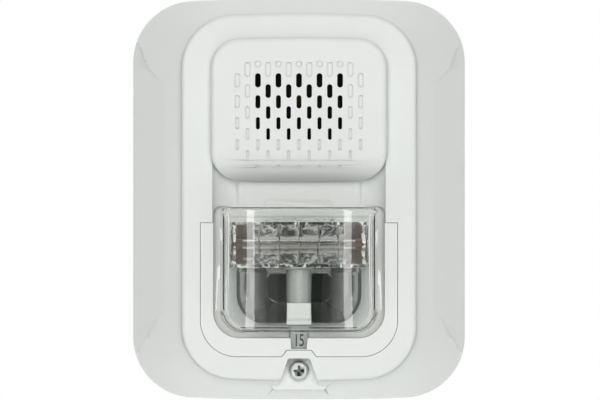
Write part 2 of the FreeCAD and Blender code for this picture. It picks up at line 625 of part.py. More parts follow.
# ---------------------------------------------------------------- rear cover and its controls
def back_cover():
    shape = form(WALL + COVER_GAP).common(box(-60, 60, -80, 80, COVER_BACK, COVER_FRONT))
    adds = []
    for x, u in post_places():
        adds.append(rod(x, u, COVER_FRONT, BOARD_BACK, 2.6))
        adds.append(rod(x, u, COVER_FRONT, BOARD_FRONT + 0.9, 1.4))
    for s in (-1, 1):
        shelf = sorted((SCALE_U + s * 2.0, SCALE_U + s * 5.0))
        rail = sorted((SCALE_U + s * (SCALE_HALF_H + 0.35), SCALE_U + s * 5.0))
        adds.append(box(-36, 36, shelf[0], shelf[1], COVER_FRONT, SCALE_BACK - 0.35))
        adds.append(box(-36, 36, rail[0], rail[1], COVER_FRONT, SCALE_FRONT))
    travel = SETTING_PITCH * (SETTINGS - 1)
    run = travel / 2 + 3.6
    cuts = [box(-run, run, SCALE_U - 1.6, SCALE_U + 1.6, 5, 14),
            rod(0, SCREW_U, 5, 20, RETAINER_R + 0.9),
            box(-27.4, 27.4, BLADE_U - 3.8, BLADE_U + 3.8, 5, 20),
            rod(DIAL_X, DIAL_U, 5, 20, DIAL_R + 0.5)]
    for x in (-COVER_SCREW_X, COVER_SCREW_X):
        for u in (-COVER_SCREW_U, COVER_SCREW_U):
            cuts.append(rod(x, u, 5, 20, 1.7))
    return shape.fuse(adds).cut(cuts).removeSplitter()


def cross_recess(x, u, d, reach, depth):
    """A cross-shaped driver recess sunk into a screw head that ends at depth d."""
    bars = [box(x - reach, x + reach, u - 0.45, u + 0.45, d - depth, d + 1),
            box(x - 0.45, x + 0.45, u - reach, u + reach, d - depth, d + 1)]
    return bars


def cover_screws():
    screws = []
    for x in (-COVER_SCREW_X, COVER_SCREW_X):
        for u in (-COVER_SCREW_U, COVER_SCREW_U):
            head = rod(x, u, COVER_BACK - 1.6, COVER_BACK, 2.7)
            head = head.cut([box(x - 1.5, x + 1.5, u - 0.4, u + 0.4, 0, COVER_BACK - 0.8),
                             box(x - 0.4, x + 0.4, u - 1.5, u + 1.5, 0, COVER_BACK - 0.8)])
            screws.append(joined(head, rod(x, u, COVER_BACK, BOSS_TOP - 1.5, 1.25)))
    return screws


def candela_selector():
    """The sliding scale: its first number shows in the window, its thumb tab is at the back."""
    travel = SETTING_PITCH * (SETTINGS - 1)
    middle = travel / 2
    scale = box(-SETTING_PITCH / 2 - 0.5, travel + SETTING_PITCH / 2 + 0.5,
                SCALE_U - SCALE_HALF_H, SCALE_U + SCALE_HALF_H, SCALE_BACK, SCALE_FRONT)
    web = box(middle - 3.0, middle + 3.0, SCALE_U - 1.2, SCALE_U + 1.2, THUMB_BACK, SCALE_BACK)
    thumb = box(middle - 4.4, middle + 4.4, SCALE_U - 2.6, SCALE_U + 2.6, THUMB_BACK, 8.5)
    grips = [box(middle - 3.6 + 1.5 * i, middle - 3.0 + 1.5 * i, SCALE_U - 3, SCALE_U + 3,
                 0, THUMB_BACK + 0.5) for i in range(5)]
    return joined(scale, web, thumb).cut(grips)


def rotary_switch_body():
    block = box(DIAL_X - 6.2, DIAL_X + 6.2, DIAL_U - 6.2, DIAL_U + 6.2, 11.3, BOARD_BACK)
    return block.cut([rod(DIAL_X, DIAL_U, 5, 12.7, DIAL_R + 0.4),
                      rod(DIAL_X, DIAL_U, 5, 13.8, 1.9)])


def tone_dial():
    disc = rod(DIAL_X, DIAL_U, 8.4, 12.3, DIAL_R)
    stem = rod(DIAL_X, DIAL_U, 12.0, 13.5, 1.5)
    arrow = prism([(DIAL_X - 0.6, DIAL_U - 2.8), (DIAL_X + 0.6, DIAL_U - 2.8),
                   (DIAL_X + 0.6, DIAL_U + 0.9), (DIAL_X + 1.9, DIAL_U + 0.9),
                   (DIAL_X, DIAL_U + 3.2), (DIAL_X - 1.9, DIAL_U + 0.9),
                   (DIAL_X - 0.6, DIAL_U + 0.9)], 0, 9.5)
    return joined(disc, stem).cut(arrow)


# ---------------------------------------------------------------- mounting screw
def mounting_screw():
    top = POCKET_FLOOR + SCREW_HEAD_H
    head = rod(0, SCREW_U, POCKET_FLOOR + 0.3, top, SCREW_HEAD_R)
    head = head.makeFillet(1.1, [e for e in head.Edges if e.BoundBox.ZMin > top - 0.01])
    shank = rod(0, SCREW_U, SCREW_TIP, POCKET_FLOOR + 0.5, SCREW_R)
    neck = tube(0, SCREW_U, RETAINER_BACK - 0.3, RETAINER_FRONT + 0.3, 5, 1.2)
    tip = Part.makeCone(SCREW_R, 0.8, 1.2, at(0, SCREW_U, SCREW_TIP), at(0, 0, -1))
    return joined(head, shank.cut(neck), tip).cut(cross_recess(0, SCREW_U, top, 1.9, 1.5))


def screw_retainer():
    return tube(0, SCREW_U, RETAINER_BACK, RETAINER_FRONT, RETAINER_R, 1.55)


# ---------------------------------------------------------------- wall plate
def mounting_plate():
    base = slab(PLATE_HALF, PLATE_TOP, PLATE_BOTTOM, PLATE_CORNER, PLATE_CORNER, 0, PLATE_LIP)
    inside = slab(PLATE_HALF - 1.8, PLATE_TOP - 1.8, PLATE_BOTTOM + 1.8, PLATE_CORNER - 1.8,
                  PLATE_CORNER - 1.8, PLATE_THICK, 20)
    adds = []
    for x in (-HOOK_X, HOOK_X):
        floor = HINGE_U - BEAD_R - 0.3
        back, lip = HINGE_D - BEAD_R - 0.6, HINGE_D + BEAD_R + 0.3
        adds.append(side_prism([(PLATE_TOP - 4, 0), (HOOK_TOP, 0), (HOOK_TOP, back),
                                (floor, back), (floor, lip), (HOOK_TOP, lip),
                                (HOOK_TOP, lip + 1.7), (63.8, lip + 1.7),
                                (PLATE_TOP - 2, PLATE_THICK)],
                               x - HOOK_HALF, x + HOOK_HALF))
    adds.append(rod(0, SCREW_U, 0, 8.0, 4.2))
    adds.append(box(-28.8, 28.8, -20.0, -8.5, PLATE_THICK - 1, 4.0))
    adds.append(box(-28.8, 28.8, -31.5, -20.0, PLATE_THICK - 1, 7.8))
    for x in (-28.0, -14.0, 0.0, 14.0, 28.0):
        adds.append(box(x - 0.8, x + 0.8, -20.5, -8.5, PLATE_THICK - 1, 8.2))
    shape = base.cut(inside).fuse(adds)
    cuts = [slab(OPENING_W, OPENING_HIGH, OPENING_LOW, 4, 4, -1, 20),
            rod(0, SCREW_U, -1, 20, SCREW_R + 0.55)]
    for x in TERMINAL_X:
        cuts.append(box(x - 2.0, x + 2.0, -30.2, -20.4, 2.7, 20))
        cuts.append(box(x - 1.9, x + 1.9, -21, -19, 4.0, 20))
        cuts.append(rod(x, TERMINAL_U, 1.2, 20, 1.75))
    half = GANG_SPACING / 2
    places = [(0, half), (0, -half), (OCTAGON_SPACING / 2, 0), (-OCTAGON_SPACING / 2, 0)]
    for x in (-DOUBLE_SPACING / 2, DOUBLE_SPACING / 2):
        places += [(x, half), (x, -half)]
    cuts += [rod(x, u, -1, 20, BOX_HOLE_R) for x, u in places]
    return shape.cut(cuts).removeSplitter()


def terminal_contacts():
    contacts = []
    for x in TERMINAL_X:
        strip = box(x - 3.2, x + 3.2, -18.6, -9.5, 4.0, 4.8)
        neck = box(x - 1.3, x + 1.3, -21.6, -18.6, 4.0, 4.8)
        leaves = [box(x - 1.25, x - 0.8, -29.4, -21.6, 3.2, 7.4),
                  box(x + 0.8, x + 1.25, -29.4, -21.6, 3.2, 7.4)]
        bridge = box(x - 1.25, x + 1.25, -22.0, -21.2, 3.2, 4.8)
        contacts.append(joined(strip, neck, bridge, *leaves).cut(rod(x, TERMINAL_U, 0, 20, 1.75)))
    return contacts


def terminal_clamps():
    clamps = []
    for x in TERMINAL_X:
        washer = box(x - 3.6, x + 3.6, TERMINAL_U - 3.6, TERMINAL_U + 3.6, 5.6, 6.4)
        clamps.append(washer.cut(rod(x, TERMINAL_U, 0, 20, 1.75)))
    return clamps


def terminal_screws():
    screws = []
    for x in TERMINAL_X:
        head = rod(x, TERMINAL_U, 6.4, 8.2, 3.1)
        head = head.makeFillet(0.6, [e for e in head.Edges if e.BoundBox.ZMin > 8.19])
        shape = joined(head, rod(x, TERMINAL_U, 1.6, 6.4, 1.65))
        screws.append(shape.cut(box(x - 2.6, x + 2.6, TERMINAL_U - 0.45, TERMINAL_U + 0.45,
                                    7.3, 10)))
    return screws


def shorting_spring():
    """Leaf that bridges the two middle circuits until the head is fitted and lifts it."""
    profile = [(-9.0, 5.1), (-5.0, 5.1), (-1.6, 8.75), (1.6, 8.75), (5.6, 5.5), (8.6, 5.5),
               (8.6, 5.2), (5.5, 5.2), (1.5, 8.45), (-1.5, 8.45), (-4.9, 4.8), (-9.0, 4.8)]
    loop = [at(x, -19.8, d) for x, d in profile]
    return Part.Face(Part.makePolygon(loop + loop[:1])).extrude(at(0, 1.0, 0))


PIECES = [front_housing, lens_bezel, lens, reflector, flash_tube, tube_electrodes, trigger_wire,
          horn_resonator, piezo_disc, piezo_ring, piezo_leads, circuit_board,
          storage_capacitor, trigger_transformer, power_inductor, power_transistor,
          control_chip, surface_mount_parts, pin_block, contact_blades, back_cover,
          cover_screws, candela_selector, rotary_switch_body, tone_dial, mounting_screw,
          screw_retainer, mounting_plate, terminal_contacts, terminal_clamps,
          terminal_screws, shorting_spring]

if __name__ == "__main__":
    os.makedirs("parts", exist_ok=True)
    for piece in PIECES:
        made = piece()
        save(piece.__name__, *(made if isinstance(made, list) else [made]))
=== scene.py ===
"""A wall horn strobe on its wall plate, in a pale studio.

The file goes through the appliance as it is put together: room and camera, moulded head, sounder,
lens and light engine, controls, rear cover, circuit board, and the wall plate it hooks on to.
"""
import math

import bpy
from mathutils import Matrix, Vector


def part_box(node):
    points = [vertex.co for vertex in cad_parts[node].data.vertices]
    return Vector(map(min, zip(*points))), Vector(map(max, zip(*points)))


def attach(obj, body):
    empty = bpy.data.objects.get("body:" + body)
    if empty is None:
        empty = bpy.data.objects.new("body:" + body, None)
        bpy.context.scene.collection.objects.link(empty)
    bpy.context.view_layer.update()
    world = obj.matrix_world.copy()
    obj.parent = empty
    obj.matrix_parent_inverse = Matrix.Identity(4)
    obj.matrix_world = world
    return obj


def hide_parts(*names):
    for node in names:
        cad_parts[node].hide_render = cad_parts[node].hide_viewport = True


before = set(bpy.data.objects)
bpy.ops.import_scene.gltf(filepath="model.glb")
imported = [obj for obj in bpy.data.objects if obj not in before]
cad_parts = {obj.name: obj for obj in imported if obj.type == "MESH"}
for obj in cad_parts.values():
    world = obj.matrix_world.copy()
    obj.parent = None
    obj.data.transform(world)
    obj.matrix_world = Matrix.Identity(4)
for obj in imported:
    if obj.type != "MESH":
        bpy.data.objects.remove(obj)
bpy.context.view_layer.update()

# ------------------------------------------------------------------ room and camera
# The appliance is shown as it hangs on the wall plate, seen square on from a metre away. One broad
# soft box stands behind the camera, with a narrow strip light each side for the gloss of the lens.
# Polished faces see a dark spot at the camera, a pale ring round it, then brown and pale walls. Two
# boxes behind the wall plane light the rear and the floor, and can't reach the front.
FLOOR_DROP, FLOOR_SIZE, FLOOR_GRAIN = 0.42, 3.2, 0.08
CAMERA_AWAY, CAMERA_RIGHT, CAMERA_UP = 1.0, 0.00036, -0.00018
LENS_LENGTH, SENSOR_WIDTH = 166.2, 36.0
KEY_SIZE, KEY_AWAY, KEY_UP, KEY_POWER = 1.2, 1.7, 0.35, 18.2
STRIP_W, STRIP_H, STRIP_X, STRIP_AWAY, STRIP_POWER = 0.03, 1.0, 0.19, 1.1, 0.55
BACK_SIZE, BACK_AWAY, BACK_UP, BACK_POWER = 1.2, 1.7, 0.5, 13.0
OVER_SIZE, OVER_AWAY, OVER_UP, OVER_POWER = 1.6, 0.5, 1.6, 14.0
AIM_BEHIND = 0.2
FILL_STRENGTH, ROOM_STRENGTH, ROOM_PATCH, ROOM_PATCHINESS = 0.15, 0.9, 0.2, 0.22


def paint(hex_colour):
    """The linear colour of an sRGB hex value."""
    parts = [int(hex_colour[i:i + 2], 16) / 255 for i in (1, 3, 5)]
    line = [p / 12.92 if p <= 0.04045 else ((p + 0.055) / 1.055) ** 2.4 for p in parts]
    return (*line, 1.0)


def put(tree, kind, links=None, values=None, **settings):
    """Adds one shader node. A setting is a property of the node or the value of a named socket;
    values holds the sockets that are known by their place."""
    new = tree.nodes.new(kind)
    for place, value in (values or {}).items():
        new.inputs[place].default_value = value
    for name, value in settings.items():
        if name in new.bl_rna.properties:
            setattr(new, name, value)
        else:
            new.inputs[name.replace("_", " ")].default_value = value
    for name, source in (links or {}).items():
        socket = new.inputs[name]
        if isinstance(source, tuple):
            tree.links.new(source[0].outputs[source[1]], socket)
        else:
            tree.links.new(source.outputs[0], socket)
    return new


world = bpy.data.worlds.new("studio")
bpy.context.scene.world = world
world.use_nodes = True
sky = world.node_tree
sky.nodes.clear()
ray = put(sky, "ShaderNodeLightPath")
where = put(sky, "ShaderNodeTexCoord")
toward = put(sky, "ShaderNodeSeparateXYZ", {"Vector": (where, "Generated")})
patches = put(sky, "ShaderNodeTexNoise", {"Vector": (where, "Generated")},
              Scale=1 / ROOM_PATCH, Detail=3.0)
ahead = put(sky, "ShaderNodeMath", {0: (toward, "Y")}, {1: -1.0}, operation="MULTIPLY")
off_axis = put(sky, "ShaderNodeMath", {0: ahead}, operation="ARCCOSINE")
blotch = put(sky, "ShaderNodeMath", {0: (patches, "Fac")},
             {1: ROOM_PATCHINESS, 2: -ROOM_PATCHINESS / 2}, operation="MULTIPLY_ADD")
angle_seen = put(sky, "ShaderNodeMath", {0: off_axis, 1: blotch}, operation="ADD")
spread = put(sky, "ShaderNodeMapRange", {"Value": angle_seen}, From_Max=math.pi / 2)
studio = put(sky, "ShaderNodeValToRGB", {"Fac": spread})
# Each position is an angle off the camera's line, as a share of a quarter turn.
ramp = studio.color_ramp.elements
ramp[0].position, ramp[0].color = 0.045, paint("#343734")
ramp[1].position, ramp[1].color = 0.90, paint("#eef0ee")
for position, colour in ((0.09, "#f8f9f7"), (0.27, "#eceeeb"), (0.33, "#a08a76"),
                         (0.39, "#4a443f"), (0.48, "#8f8073"), (0.62, "#c9c8c4")):
    ramp.new(position).color = paint(colour)
white = put(sky, "ShaderNodeBackground", Color=paint("#ffffff"), Strength=1.0)
fill = put(sky, "ShaderNodeBackground", Color=paint("#f4f7f5"), Strength=FILL_STRENGTH)
dim = put(sky, "ShaderNodeBackground", {"Color": studio}, Strength=ROOM_STRENGTH)
gloss = put(sky, "ShaderNodeMath", {0: (ray, "Is Glossy Ray"), 1: (ray, "Is Transmission Ray")},
            operation="MAXIMUM")
lit = put(sky, "ShaderNodeMixShader", {0: gloss, 1: fill, 2: dim})
seen = put(sky, "ShaderNodeMixShader", {0: (ray, "Is Camera Ray"), 1: lit, 2: white})
put(sky, "ShaderNodeOutputWorld", {"Surface": seen})

bpy.ops.object.select_all(action="DESELECT")
bpy.ops.mesh.primitive_plane_add(size=FLOOR_SIZE, location=(0, 0, -FLOOR_DROP))
floor = bpy.context.object
floor.name = "pale_floor"
# Matt paint: nearly white, with a mottling just strong enough to be seen not to be one flat tone.
pale = bpy.data.materials.new("pale_floor_paint")
pale.use_nodes = True
ground = pale.node_tree
speckle = put(ground, "ShaderNodeTexNoise", Scale=FLOOR_SIZE / FLOOR_GRAIN, Detail=3.0)
tone = put(ground, "ShaderNodeMixRGB", {"Fac": speckle},
           Color1=paint("#f3f4f3"), Color2=paint("#fafbfa"))
matt = ground.nodes["Principled BSDF"]
ground.links.new(tone.outputs[0], matt.inputs["Base Color"])
matt.inputs["Roughness"].default_value = 0.8
floor.data.materials.append(pale)


def soft_box(name, place, target, width, height, power):
    """A rectangular area light at a place, turned to face a target."""
    data = bpy.data.lights.new(name, "AREA")
    data.shape = "RECTANGLE"
    data.size, data.size_y, data.energy = width, height, power
    box = bpy.data.objects.new(name, data)
    bpy.context.scene.collection.objects.link(box)
    box.location = place
    box.rotation_euler = (Vector(target) - Vector(place)).to_track_quat("-Z", "Y").to_euler()
    return box


key = soft_box("key_soft_box", (0, -KEY_AWAY, KEY_UP), (0, 0, 0), KEY_SIZE, KEY_SIZE, KEY_POWER)
key.visible_glossy = key.visible_transmission = False
for name, size, away, up, power in (
        ("rear_soft_box", BACK_SIZE, BACK_AWAY, BACK_UP, BACK_POWER),
        ("overhead_soft_box", OVER_SIZE, OVER_AWAY, OVER_UP, OVER_POWER)):
    behind = soft_box(name, (0, away, up), (0, away * AIM_BEHIND, -FLOOR_DROP / 2), size, size,
                      power)
    behind.visible_glossy = behind.visible_transmission = False
for side in (-1, 1):
    strip = soft_box("strip_light", (side * STRIP_X, -STRIP_AWAY, 0), (0, 0, 0), STRIP_W,
                     STRIP_H, STRIP_POWER)
    strip.visible_transmission = False

eye = bpy.data.cameras.new("square_on")
eye.lens, eye.sensor_width = LENS_LENGTH, SENSOR_WIDTH
camera = bpy.data.objects.new("square_on", eye)
bpy.context.scene.collection.objects.link(camera)
camera.location = (CAMERA_RIGHT, -CAMERA_AWAY, CAMERA_UP)
camera.rotation_euler = (math.radians(90), 0, 0)
bpy.context.scene.camera = camera
bpy.context.scene.view_settings.view_transform = "Standard"

# ------------------------------------------------------------------ moulded head
# The head is one ABS moulding, off-white with a fine satin spark-eroded texture. It hooks on to
# the wall plate at the top, and a frame of the same plastic clamps the lens into it. The radii of
# both are in their solids, so nothing is rounded here.
MM = 0.001
WELD, EDGE_ROUND, EDGE_STEPS, EDGE_ANGLE = 0.002 * MM, 0.25 * MM, 2, math.radians(38)
SMOOTH_ANGLE, HEAD_SMOOTH, FLAT_WEIGHT = math.radians(32), math.radians(13), 100
MOTTLE, GRAIN, GRAIN_RELIEF, GRAIN_STRENGTH = 28 * MM, 0.45 * MM, 0.05 * MM, 0.05
GLOSS_UNDER, GLOSS_OVER = 0.05, 0.08
# Reach and depth of the painted shade in grooves and inner corners, and how the occlusion behind it
# is read.
CREVICE_SHADE_REACH, CREVICE_SHADE_DEPTH, SHUT_IN, SKY_RAYS = 0.9 * MM, 0.26, 0.35, 6


def only(piece):
    """Makes a piece the one selected and active object."""
    bpy.ops.object.select_all(action="DESELECT")
    piece.select_set(True)
    bpy.context.view_layer.objects.active = piece


def finish_of(node, name, material, body, edge=EDGE_ROUND, angle=SMOOTH_ANGLE):
    """A welded, smoothly shaded copy of a CAD node that stands for it. Its sharp edges are
    rounded by edge, unless that is zero, and faces that meet at less than angle are blended."""
    piece = bpy.data.objects.new(name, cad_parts[node].data.copy())
    bpy.context.scene.collection.objects.link(piece)
    only(piece)
    bpy.ops.object.mode_set(mode="EDIT")
    bpy.ops.mesh.select_all(action="SELECT")
    bpy.ops.mesh.remove_doubles(threshold=WELD)
    bpy.ops.object.mode_set(mode="OBJECT")
    if edge:
        rounding = piece.modifiers.new("edge_round", "BEVEL")
        rounding.width, rounding.segments = edge, EDGE_STEPS
        rounding.limit_method, rounding.angle_limit = "ANGLE", EDGE_ANGLE
        rounding.miter_outer = "MITER_ARC"
        rounding.use_clamp_overlap = True
        bpy.ops.object.modifier_apply(modifier=rounding.name)
    bpy.ops.object.shade_smooth_by_angle(angle=angle)
    flats = piece.modifiers.new("flat_faces", "WEIGHTED_NORMAL")
    flats.mode, flats.weight, flats.keep_sharp = "FACE_AREA", FLAT_WEIGHT, True
    bpy.ops.object.modifier_apply(modifier=flats.name)
    piece.data.materials.clear()
    piece.data.materials.append(material)
    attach(piece, body)
    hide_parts(node)
    return piece


def new_material(name):
    """An empty material, its Principled shader and its object coordinates."""
    material = bpy.data.materials.new(name)
    material.use_nodes = True
    tree = material.node_tree
    shader = tree.nodes["Principled BSDF"]
    return material, tree, shader, put(tree, "ShaderNodeTexCoord")


def painted_crevice_shade(tree, colour, reach, depth):
    """The colour with painted shade: darker where a groove or inner corner closer than reach keeps
    light out.
    """
    open_sky = put(tree, "ShaderNodeAmbientOcclusion", Distance=reach, samples=SKY_RAYS)
    shade = put(tree, "ShaderNodeMapRange", {"Value": (open_sky, "AO")},
                From_Min=SHUT_IN, To_Min=1.0 - depth)
    return put(tree, "ShaderNodeMixRGB", {"Color1": colour, "Color2": shade},
               blend_type="MULTIPLY", Fac=1.0)


def satin_abs(name, light, dark, rough=0.42):
    """Moulded ABS. It gives a soft, broad sheen, a faint mottling and painted shade in its grooves
    and inner corners. The real spark-eroded grain is too fine to see, and is drawn as coarse as it
    needs to show."""
    material, tree, shader, coords = new_material(name)
    cloud = put(tree, "ShaderNodeTexNoise", {"Vector": (coords, "Object")},
                Scale=1 / MOTTLE, Detail=3.0)
    grain = put(tree, "ShaderNodeTexNoise", {"Vector": (coords, "Object")},
                Scale=1 / GRAIN, Detail=2.0)
    colour = put(tree, "ShaderNodeMixRGB", {"Fac": (cloud, "Fac")},
                 Color1=paint(light), Color2=paint(dark))
    colour = painted_crevice_shade(tree, colour, CREVICE_SHADE_REACH, CREVICE_SHADE_DEPTH)
    sheen = put(tree, "ShaderNodeMapRange", {"Value": (grain, "Fac")},
                To_Min=rough - GLOSS_UNDER, To_Max=rough + GLOSS_OVER)
    relief = put(tree, "ShaderNodeBump", {"Height": (grain, "Fac")},
                 Strength=GRAIN_STRENGTH, Distance=GRAIN_RELIEF)
    tree.links.new(colour.outputs[0], shader.inputs["Base Color"])
    tree.links.new(sheen.outputs[0], shader.inputs["Roughness"])
    tree.links.new(relief.outputs[0], shader.inputs["Normal"])
    shader.inputs["IOR"].default_value = 1.52
    return material


# Cool off-white, a shade darker in patches. The frame is a touch paler.
head_abs = satin_abs("moulded_white_abs", "#e9ebe8", "#e5e8e5")
frame_abs = satin_abs("frame_white_abs", "#eaece9", "#e7e9e6")
# Both mouldings carry painted shade in their slots, grooves and inner corners.
finish_of("front_housing", "moulded_head", head_abs, "head", edge=0.0,
          angle=HEAD_SMOOTH)
finish_of("lens_bezel", "lens_frame", frame_abs, "head", edge=0.0, angle=HEAD_SMOOTH)

# ------------------------------------------------------------------ sounder
# Behind the slots sits a black moulded chamber with a brass piezo disc clamped in a soft ring.
# Its matt inside is what makes the slots look black.
CAST_RELIEF, CAST_STRENGTH, CAST_GLOSS_SPREAD, FULL_GLOSS = 0.1 * MM, 0.03, 0.08, 0.02
# How far into recesses the painted shade reaches.
RECESS_SHADE_REACH = 2.2 * MM


def plain_moulding(name, light, dark, rough, scale_mm=6.0, metal=0.0, recess_shade=0.0):
    """A moulded, cast or plated finish with a slight change of colour and gloss. With the last
    argument set, its recesses get painted shade, darker by that share."""
    material, tree, shader, coords = new_material(name)
    cloud = put(tree, "ShaderNodeTexNoise", {"Vector": (coords, "Object")},
                Scale=1 / (scale_mm * MM), Detail=4.0)
    colour = put(tree, "ShaderNodeMixRGB", {"Fac": (cloud, "Fac")},
                 Color1=paint(light), Color2=paint(dark))
    if recess_shade:
        colour = painted_crevice_shade(tree, colour, RECESS_SHADE_REACH, recess_shade)
    sheen = put(tree, "ShaderNodeMapRange", {"Value": (cloud, "Fac")},
                To_Min=max(FULL_GLOSS, rough - CAST_GLOSS_SPREAD), To_Max=rough + CAST_GLOSS_SPREAD)
    relief = put(tree, "ShaderNodeBump", {"Height": (cloud, "Fac")},
                 Strength=CAST_STRENGTH, Distance=CAST_RELIEF)
    tree.links.new(colour.outputs[0], shader.inputs["Base Color"])
    tree.links.new(sheen.outputs[0], shader.inputs["Roughness"])
    tree.links.new(relief.outputs[0], shader.inputs["Normal"])
    shader.inputs["Metallic"].default_value = metal
    return material


# Matt black with hardly any highlight, from the glass fibres at its surface.
black_moulding = plain_moulding("black_glass_filled_nylon", "#141413", "#1b1b1a", 0.6)
# Dull yellow metal, tarnished in small clouds.
brass = plain_moulding("rolled_brass", "#6f5c34", "#57482a", 0.45, 2.0, 1.0)
# Soft dark grey with no shine.
rubber = plain_moulding("silicone_rubber", "#2a2a29", "#202020", 0.7)
# Bright grey with a slightly uneven gloss, where the tin has flowed.
tinned = plain_moulding("tinned_wire", "#c2c1bc", "#a9a8a3", 0.35, 1.0, 1.0)
finish_of("horn_resonator", "sound_chamber", black_moulding, "head")
finish_of("piezo_disc", "sounder_disc", brass, "head", edge=0.05 * MM)
finish_of("piezo_ring", "sounder_ring", rubber, "head")
finish_of("piezo_leads", "sounder_leads", tinned, "head", edge=0.0)

# ------------------------------------------------------------------ lens
# One clear polycarbonate moulding: a drafted box with a slightly bulged front, a flange, a tab at
# the top and a small window at the bottom that shows the flash setting.
SINK_WAVE, SINK_RELIEF, SINK_STRENGTH = 9 * MM, 0.2 * MM, 0.04

# Clear and colourless, with bright bent edges; a slow moulding ripple keeps its highlights uneven.
clear, tree, shader, coords = new_material("clear_polycarbonate")
ripple = put(tree, "ShaderNodeTexNoise", {"Vector": (coords, "Object")},
             Scale=1 / SINK_WAVE, Detail=1.0)
relief = put(tree, "ShaderNodeBump", {"Height": (ripple, "Fac")},
             Strength=SINK_STRENGTH, Distance=SINK_RELIEF)
tree.links.new(relief.outputs[0], shader.inputs["Normal"])
shader.inputs["Base Color"].default_value = paint("#fbfcfb")
shader.inputs["Transmission Weight"].default_value = 1.0
shader.inputs["Roughness"].default_value = 0.02
shader.inputs["IOR"].default_value = 1.58
lens = finish_of("lens", "clear_lens", clear, "head", edge=0.0, angle=HEAD_SMOOTH)
lens.visible_shadow = False

# ------------------------------------------------------------------ reflector
# Moulded plastic with vacuum-deposited aluminium: a parabolic trough round the tube and a bowl
# below it. The metal thins out in specks to bare grey plastic on the flat flange and is dull on the
# round column. The block under the column is painted plain white: a painted reflection of the light
# its mirror facet catches.
FLANGE_FRONT, FLANGE_FADE, BARE_LIMIT = 22.6 * MM, 0.9 * MM, 0.98
COLUMN_HALF, COLUMN_FOOT, COLUMN_FRONT = 4.35 * MM, -36.2 * MM, 24.1 * MM
TROUGH_FOOT, TROUGH_WAVE, BOWL_WAVE = -23.8 * MM, 0.75, 0.04
FLOW_STRETCH, FLOW_WIDTH, RIPPLE, WAVE_HEIGHT = (1.0, 1.0, 0.25), 3.2 * MM, 5 * MM, 0.35 * MM
# The bowl's coat colour is painted shade, far darker than the trough's.
SPECK, TROUGH_COAT, BOWL_SHADED_COAT = 0.5 * MM, "#fafbf9", "#9a9d9a"
# The last two colours on the next line are the painted reflection on the block under the column.
BARE_GREY, BARE_SHADE, GLARE_WHITE, GLARE_SPECKLE = "#dde1de", "#b4b9b6", "#eef0ee", "#e2e5e2"
MIRROR_ROUGH, DULL_ROUGH, DULL_METAL, BARE_ROUGH, GLARE_ROUGH = 0.06, 0.42, 0.45, 0.4, 0.45

# A bright mirror whose flow streaks break the reflections up, strongly in the trough and hardly in
# the bowl, whose coat is painted darker: painted shade for the dark the bowl shows. Where it is
# bare it is plain matt plastic.
mirror, tree, shader, coords = new_material("vacuum_aluminised_plastic")
axes = put(tree, "ShaderNodeSeparateXYZ", {"Vector": (coords, "Object")})
across = put(tree, "ShaderNodeMath", {0: (axes, "X")}, operation="ABSOLUTE")
out_of_wall = put(tree, "ShaderNodeMath", {0: (axes, "Y")}, {1: -1.0}, operation="MULTIPLY")
below_trough = put(tree, "ShaderNodeMath", {0: (axes, "Z")}, {1: TROUGH_FOOT},
                   operation="LESS_THAN")
ripple = put(tree, "ShaderNodeTexNoise", {"Vector": (coords, "Object")},
             Scale=1 / RIPPLE, Detail=2.0)
flow = put(tree, "ShaderNodeMapping", {"Vector": (coords, "Object")}, Scale=FLOW_STRETCH)
streaks = put(tree, "ShaderNodeTexNoise", {"Vector": flow}, Scale=1 / FLOW_WIDTH, Detail=1.5)
unevenness = put(tree, "ShaderNodeMath", {0: (streaks, "Fac"), 1: (ripple, "Fac")},
                 operation="ADD")
wavy = put(tree, "ShaderNodeMapRange", {"Value": below_trough},
           To_Min=TROUGH_WAVE, To_Max=BOWL_WAVE)
relief = put(tree, "ShaderNodeBump", {"Height": unevenness, "Strength": wavy},
             Distance=WAVE_HEIGHT)
tree.links.new(relief.outputs[0], shader.inputs["Normal"])
coat_with_bowl_shade = put(tree, "ShaderNodeMixRGB", {"Fac": below_trough},
           Color1=paint(TROUGH_COAT), Color2=paint(BOWL_SHADED_COAT))
tree.links.new(coat_with_bowl_shade.outputs[0], shader.inputs["Base Color"])
shader.inputs["Metallic"].default_value = 1.0
shader.inputs["Roughness"].default_value = MIRROR_ROUGH

specks = put(tree, "ShaderNodeTexNoise", {"Vector": (coords, "Object")},
             Scale=1 / SPECK, Detail=3.0)
grey = put(tree, "ShaderNodeMixRGB", {"Fac": (specks, "Fac")},
           Color1=paint(BARE_GREY), Color2=paint(BARE_SHADE))
painted_glare = put(tree, "ShaderNodeMixRGB", {"Fac": (specks, "Fac")},
           Color1=paint(GLARE_WHITE), Color2=paint(GLARE_SPECKLE))
near_flange = put(tree, "ShaderNodeMapRange", {"Value": out_of_wall}, From_Min=FLANGE_FRONT,
                  From_Max=FLANGE_FRONT + FLANGE_FADE, To_Min=1.0, To_Max=0.0)
speckled = put(tree, "ShaderNodeMath", {0: near_flange, 1: (specks, "Fac")}, operation="ADD")
bare = put(tree, "ShaderNodeMath", {0: speckled}, {1: BARE_LIMIT}, operation="GREATER_THAN")
in_line = put(tree, "ShaderNodeMath", {0: across}, {1: COLUMN_HALF}, operation="LESS_THAN")
forward = put(tree, "ShaderNodeMath", {0: out_of_wall}, {1: COLUMN_FRONT},
              operation="GREATER_THAN")
under = put(tree, "ShaderNodeMath", {0: (axes, "Z")}, {1: COLUMN_FOOT}, operation="LESS_THAN")
middle = put(tree, "ShaderNodeMath", {0: in_line, 1: forward}, operation="MULTIPLY")
column = put(tree, "ShaderNodeMath", {0: middle, 1: below_trough}, operation="MULTIPLY")
